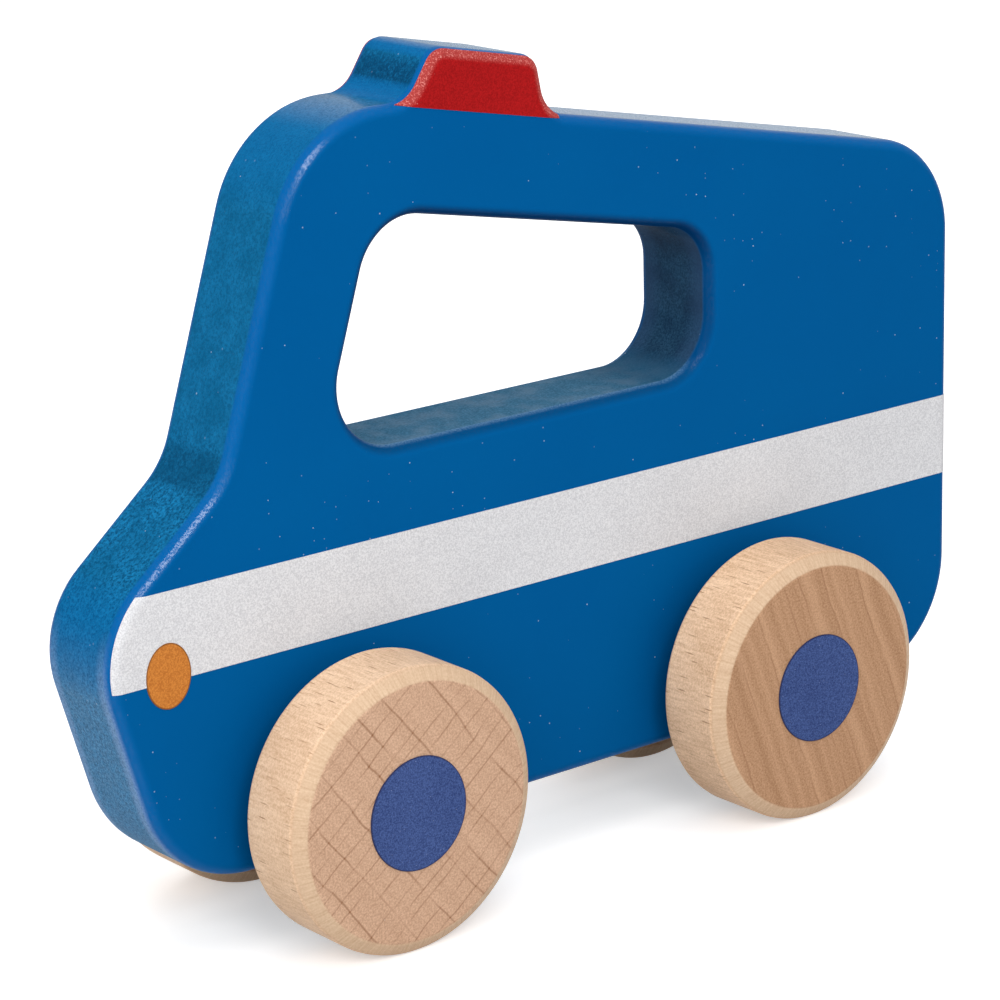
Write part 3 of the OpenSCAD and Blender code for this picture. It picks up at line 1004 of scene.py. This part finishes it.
# %% Beech for a wheel
PATCH = 9 * MM
WOOD_PORE = 0.3 * MM
CHALK_SPECK = 4.5 * MM
WOOD_RELIEF = 0.06 * MM
FLECK_BROWN = tint(150, 106, 74)
LINE_BROWN = tint(138, 96, 68)
CHALK = tint(250, 244, 236)
BEVEL_DARK, BEVEL_LIGHT = tint(190, 156, 126), tint(218, 190, 160)


def beech(name, node, grain_turn, face_light, face_dark, ring_share, ray_share, tread_light, tread_dark):
    """Turned beech for one wheel, with its end grain turned about the axle."""
    low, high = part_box(node)
    centre, radius = tuple((low + high) / 2), (high.z - low.z) / 2
    wood = Finish(name)
    x, y, z = wood.parts(wood.placed(centre))
    out, face, bevel, tread = wheel_zones(wood, x, z, radius)
    arc = wood.add("ShaderNodeMath", {"operation": "ARCTAN2"}, {0: z, 1: x}) * radius
    cloud = wood.cloud(wood.spot, PATCH)
    patch = wood.rise(cloud, 0.38, 0.6)
    lines, bands = end_grain(wood, centre, grain_turn, cloud - 0.5, ring_share, ray_share)
    streaks, flecks = long_grain(wood, arc, y, patch)
    ticks = bevel_ticks(wood, arc, out)
    pores = wood.cloud(wood.spot, WOOD_PORE, 3.0, 0.7)
    specks = wood.dots(wood.spot, CHALK_SPECK, 0.05, 0.4)

    pore_tone = wood.rise(pores, 0.3, 0.7)
    tread_tone = wood.rise(streaks, 0.25, 0.75) * 0.35 + pore_tone * 0.5 + patch * 0.15
    tread_colour = wood.mix(tread_tone, tread_dark, tread_light)
    tread_colour = wood.mix(flecks * 0.8, tread_colour, FLECK_BROWN)
    bevel_tone = wood.rise(ticks, 0.2, 0.75) * 0.6 + pore_tone * 0.4
    bevel_colour = wood.mix(bevel_tone, BEVEL_DARK, BEVEL_LIGHT)
    band_share = 0.4 * (1 - ray_share)
    face_tone = wood.rise(bands, 0.3, 0.7) * band_share
    face_tone = face_tone + wood.rise(pores, 0.25, 0.75) * (1 - band_share)
    face_colour = wood.mix(face_tone, face_dark, face_light)
    face_colour = wood.mix(lines, face_colour, LINE_BROWN)
    face_colour = wood.mix(specks * 0.8, face_colour, CHALK)
    height = pores * 0.4 - lines * face * 0.5 - flecks * tread * 0.6 + ticks * bevel * 0.5
    wood.set(
        Base_Color=wood.mix(bevel, wood.mix(tread, face_colour, tread_colour), bevel_colour),
        Roughness=0.55 + (pores - 0.5) * 0.15,
        Specular_IOR_Level=0.1,
        Normal=wood.bump(height, WOOD_RELIEF, 0.6),
    )
    return wood


print("wood pores in mm:", round(WOOD_PORE / MM, 2))

# %% [markdown]
# ## Turned pieces
# A lathe turns a profile about an axis, and so does spin. Each profile is a short list of points,
# distance from the axle and place along it, and the sharp rings are then eased with a small bevel,
# as sandpaper would.

# %% The helpers that turn a profile
TURN_STEPS = 128
RING_ANGLE = math.radians(12)


def reach(node):
    """Inner and outer end of a turned piece, from the board's middle, and its radius, in millimetres."""
    low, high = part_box(node)
    y_in, y_out = sorted((abs(low.y) / MM, abs(high.y) / MM))
    return y_in, y_out, (high.z - low.z) / 2 / MM


def turned(profile, axle_node, side, ease):
    """Spins a closed profile about an axle and eases its sharp rings."""
    low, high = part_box(axle_node)
    x, z = (low.x + high.x) / 2, (low.z + high.z) / 2
    bm = bmesh.new()
    points = [bm.verts.new((x + r * MM, side * y * MM, z)) for r, y in profile]
    edges = [bm.edges.new((a, b)) for a, b in zip(points, points[1:] + points[:1])]
    bmesh.ops.spin(
        bm,
        geom=points + edges,
        cent=(x, 0, z),
        axis=(0, 1, 0),
        angle=2 * math.pi,
        steps=TURN_STEPS,
        use_merge=True,
    )
    bmesh.ops.remove_doubles(bm, verts=bm.verts, dist=MERGE)
    bmesh.ops.dissolve_degenerate(bm, edges=bm.edges, dist=MERGE)
    bmesh.ops.recalc_face_normals(bm, faces=bm.faces)
    rings = [e for e in bm.edges if e.is_manifold and e.calc_face_angle(0) > RING_ANGLE]
    bmesh.ops.bevel(
        bm, geom=rings, offset=ease * MM, affect="EDGES", segments=3, profile=0.5, material=-1,
        clamp_overlap=True,
    )
    return bm


print("steps round a turned piece:", TURN_STEPS)

# %% [markdown]
# A wheel's profile has a bevel on both faces and a blind seat for the axle, so that the outer face is
# closed. The seat is a little wider than the axle, for the glue.

# %% Make the wheels
SEAT_R = 4.05
SEAT_DEPTH = 8.0
WHEEL_EASE = 0.4
FRONT_TREAD = (tint(246, 214, 182), tint(196, 157, 122))
# The rear treads are painted a little lighter than the front ones: painted light.
REAR_TREAD_PAINTED_LIGHT = (tint(254, 219, 184), tint(196, 155, 118))
# Turn of the grain in degrees, light and dark tint of the face, share of rings and of rays, and tread.
GRAINS = {
    "front_left": (-52, tint(220, 182, 154), tint(168, 131, 104), 0.62, 0.55, *FRONT_TREAD),
    "front_right": (20, tint(206, 170, 142), tint(172, 134, 106), 0.6, 0.4, *FRONT_TREAD),
    "rear_left": (-69, tint(206, 164, 130), tint(144, 104, 72), 0.4, 0.06, *REAR_TREAD_PAINTED_LIGHT),
    "rear_right": (40, tint(206, 170, 140), tint(174, 136, 106), 0.5, 0.3, *REAR_TREAD_PAINTED_LIGHT),
}

for place, (grain_degrees, *tints_and_shares) in GRAINS.items():
    axle_name, side_name = place.split("_")
    node = f"wheel_{place}"
    y_in, y_out, rim = reach(node)
    profile = [
        (SEAT_R, y_in),
        (rim - WHEEL_BEVEL_W, y_in),
        (rim, y_in + WHEEL_BEVEL_T),
        (rim, y_out - WHEEL_BEVEL_T),
        (rim - WHEEL_BEVEL_W, y_out),
        (0, y_out),
        (0, y_in + SEAT_DEPTH),
        (SEAT_R, y_in + SEAT_DEPTH),
    ]
    wood = beech(f"beech_{place}", node, math.radians(grain_degrees), *tints_and_shares)
    bm = turned(profile, f"{axle_name}_axle", SIDES[side_name], WHEEL_EASE)
    make_piece(f"turned_wheel_{place}", bm, f"{axle_name}_wheelset", [node], wood)

# %% [markdown]
# The hub dots are printed on the wheels' faces: a thin disc of ink with a soft edge and a darker brim.
# An extra point in the profile marks where the brim begins, and each point of the disc then gets its
# value from its distance to the axle.

# %% Make the hub dots
HUB_EASE = 0.07

for place in GRAINS:
    axle_name, side_name = place.split("_")
    node = f"hub_print_{place}"
    y_in, y_out, rim = reach(node)
    inside = rim - BRIM / MM
    profile = [(0, y_in), (rim, y_in), (rim, y_out), (inside, y_out), (0, y_out)]
    bm = turned(profile, f"{axle_name}_axle", SIDES[side_name], HUB_EASE)
    low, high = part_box(node)
    axle_at = (low + high) / 2
    brim_layer = bm.verts.layers.float.new("brim")
    for vert in bm.verts:
        out = Vector((vert.co.x - axle_at.x, vert.co.z - axle_at.z)).length / MM
        vert[brim_layer] = 1 if out > (inside + rim) / 2 else 0
    make_piece(f"hub_dot_{place}", bm, f"{axle_name}_wheelset", [node], hub_ink)

# %% [markdown]
# ## Axles and washers
# The axles are plain dowels, and a washer keeps each wheel off the paint. They are hardly seen, but
# show from below and behind. Dowel wood is long grain all along, so its noise is drawn out along Y.

# %% Dowel wood
STREAK_SIZE, STREAK_DRAW = 0.7 * MM, (1, 12, 1)
DOWEL_FLECK, FLECK_DRAW = 1.1 * MM, (1, 4, 1)
DOWEL_RELIEF = 0.05 * MM


def dowel_wood(name, light, dark):
    """Plain wood whose grain runs along the axle."""
    wood = Finish(name)
    streak = wood.cloud(wood.placed(size=STREAK_DRAW), STREAK_SIZE, 4.0, 0.6)
    flecks = wood.dots(wood.placed(size=FLECK_DRAW), DOWEL_FLECK, 0.25, 0.3)
    base = wood.mix(wood.rise(streak, 0.3, 0.7), dark, light)
    wood.set(
        Base_Color=wood.mix(flecks * 0.5, base, tint(140, 100, 70)),
        Roughness=0.6 + (streak - 0.5) * 0.15,
        Specular_IOR_Level=0.25,
        Normal=wood.bump(streak, DOWEL_RELIEF, 0.5),
    )
    return wood


axle_wood = dowel_wood("dowel_wood", tint(236, 210, 172), tint(214, 182, 140))
washer_wood = dowel_wood("washer_wood", tint(214, 180, 138), tint(190, 154, 112))
print("woods:", axle_wood.material.name, washer_wood.material.name)

# %% [markdown]
# Both are turned like the wheels. An axle is one long profile with a chamfer at each end, which helps it
# into the wheel, and a washer is a ring that is a little wider inside than the axle.

# %% Make the axles and the washers
AXLE_CHAMFER = 0.6
AXLE_EASE = 0.15
WASHER_BORE_R = 4.15
WASHER_EASE = 0.3

for axle_name in ("front", "rear"):
    body = f"{axle_name}_wheelset"
    axle_node = f"{axle_name}_axle"
    _, end, r = reach(axle_node)
    profile = [
        (0, -end),
        (r - AXLE_CHAMFER, -end),
        (r, AXLE_CHAMFER - end),
        (r, end - AXLE_CHAMFER),
        (r - AXLE_CHAMFER, end),
        (0, end),
    ]
    bm = turned(profile, axle_node, 1, AXLE_EASE)
    make_piece(f"dowel_axle_{axle_name}", bm, body, [axle_node], axle_wood)
    for side_name, side in SIDES.items():
        place = f"{axle_name}_{side_name}"
        node = f"washer_{place}"
        y_in, y_out, rim = reach(node)
        profile = [(WASHER_BORE_R, y_in), (rim, y_in), (rim, y_out), (WASHER_BORE_R, y_out)]
        bm = turned(profile, axle_node, side, WASHER_EASE)
        make_piece(f"spacer_washer_{place}", bm, body, [node], washer_wood)
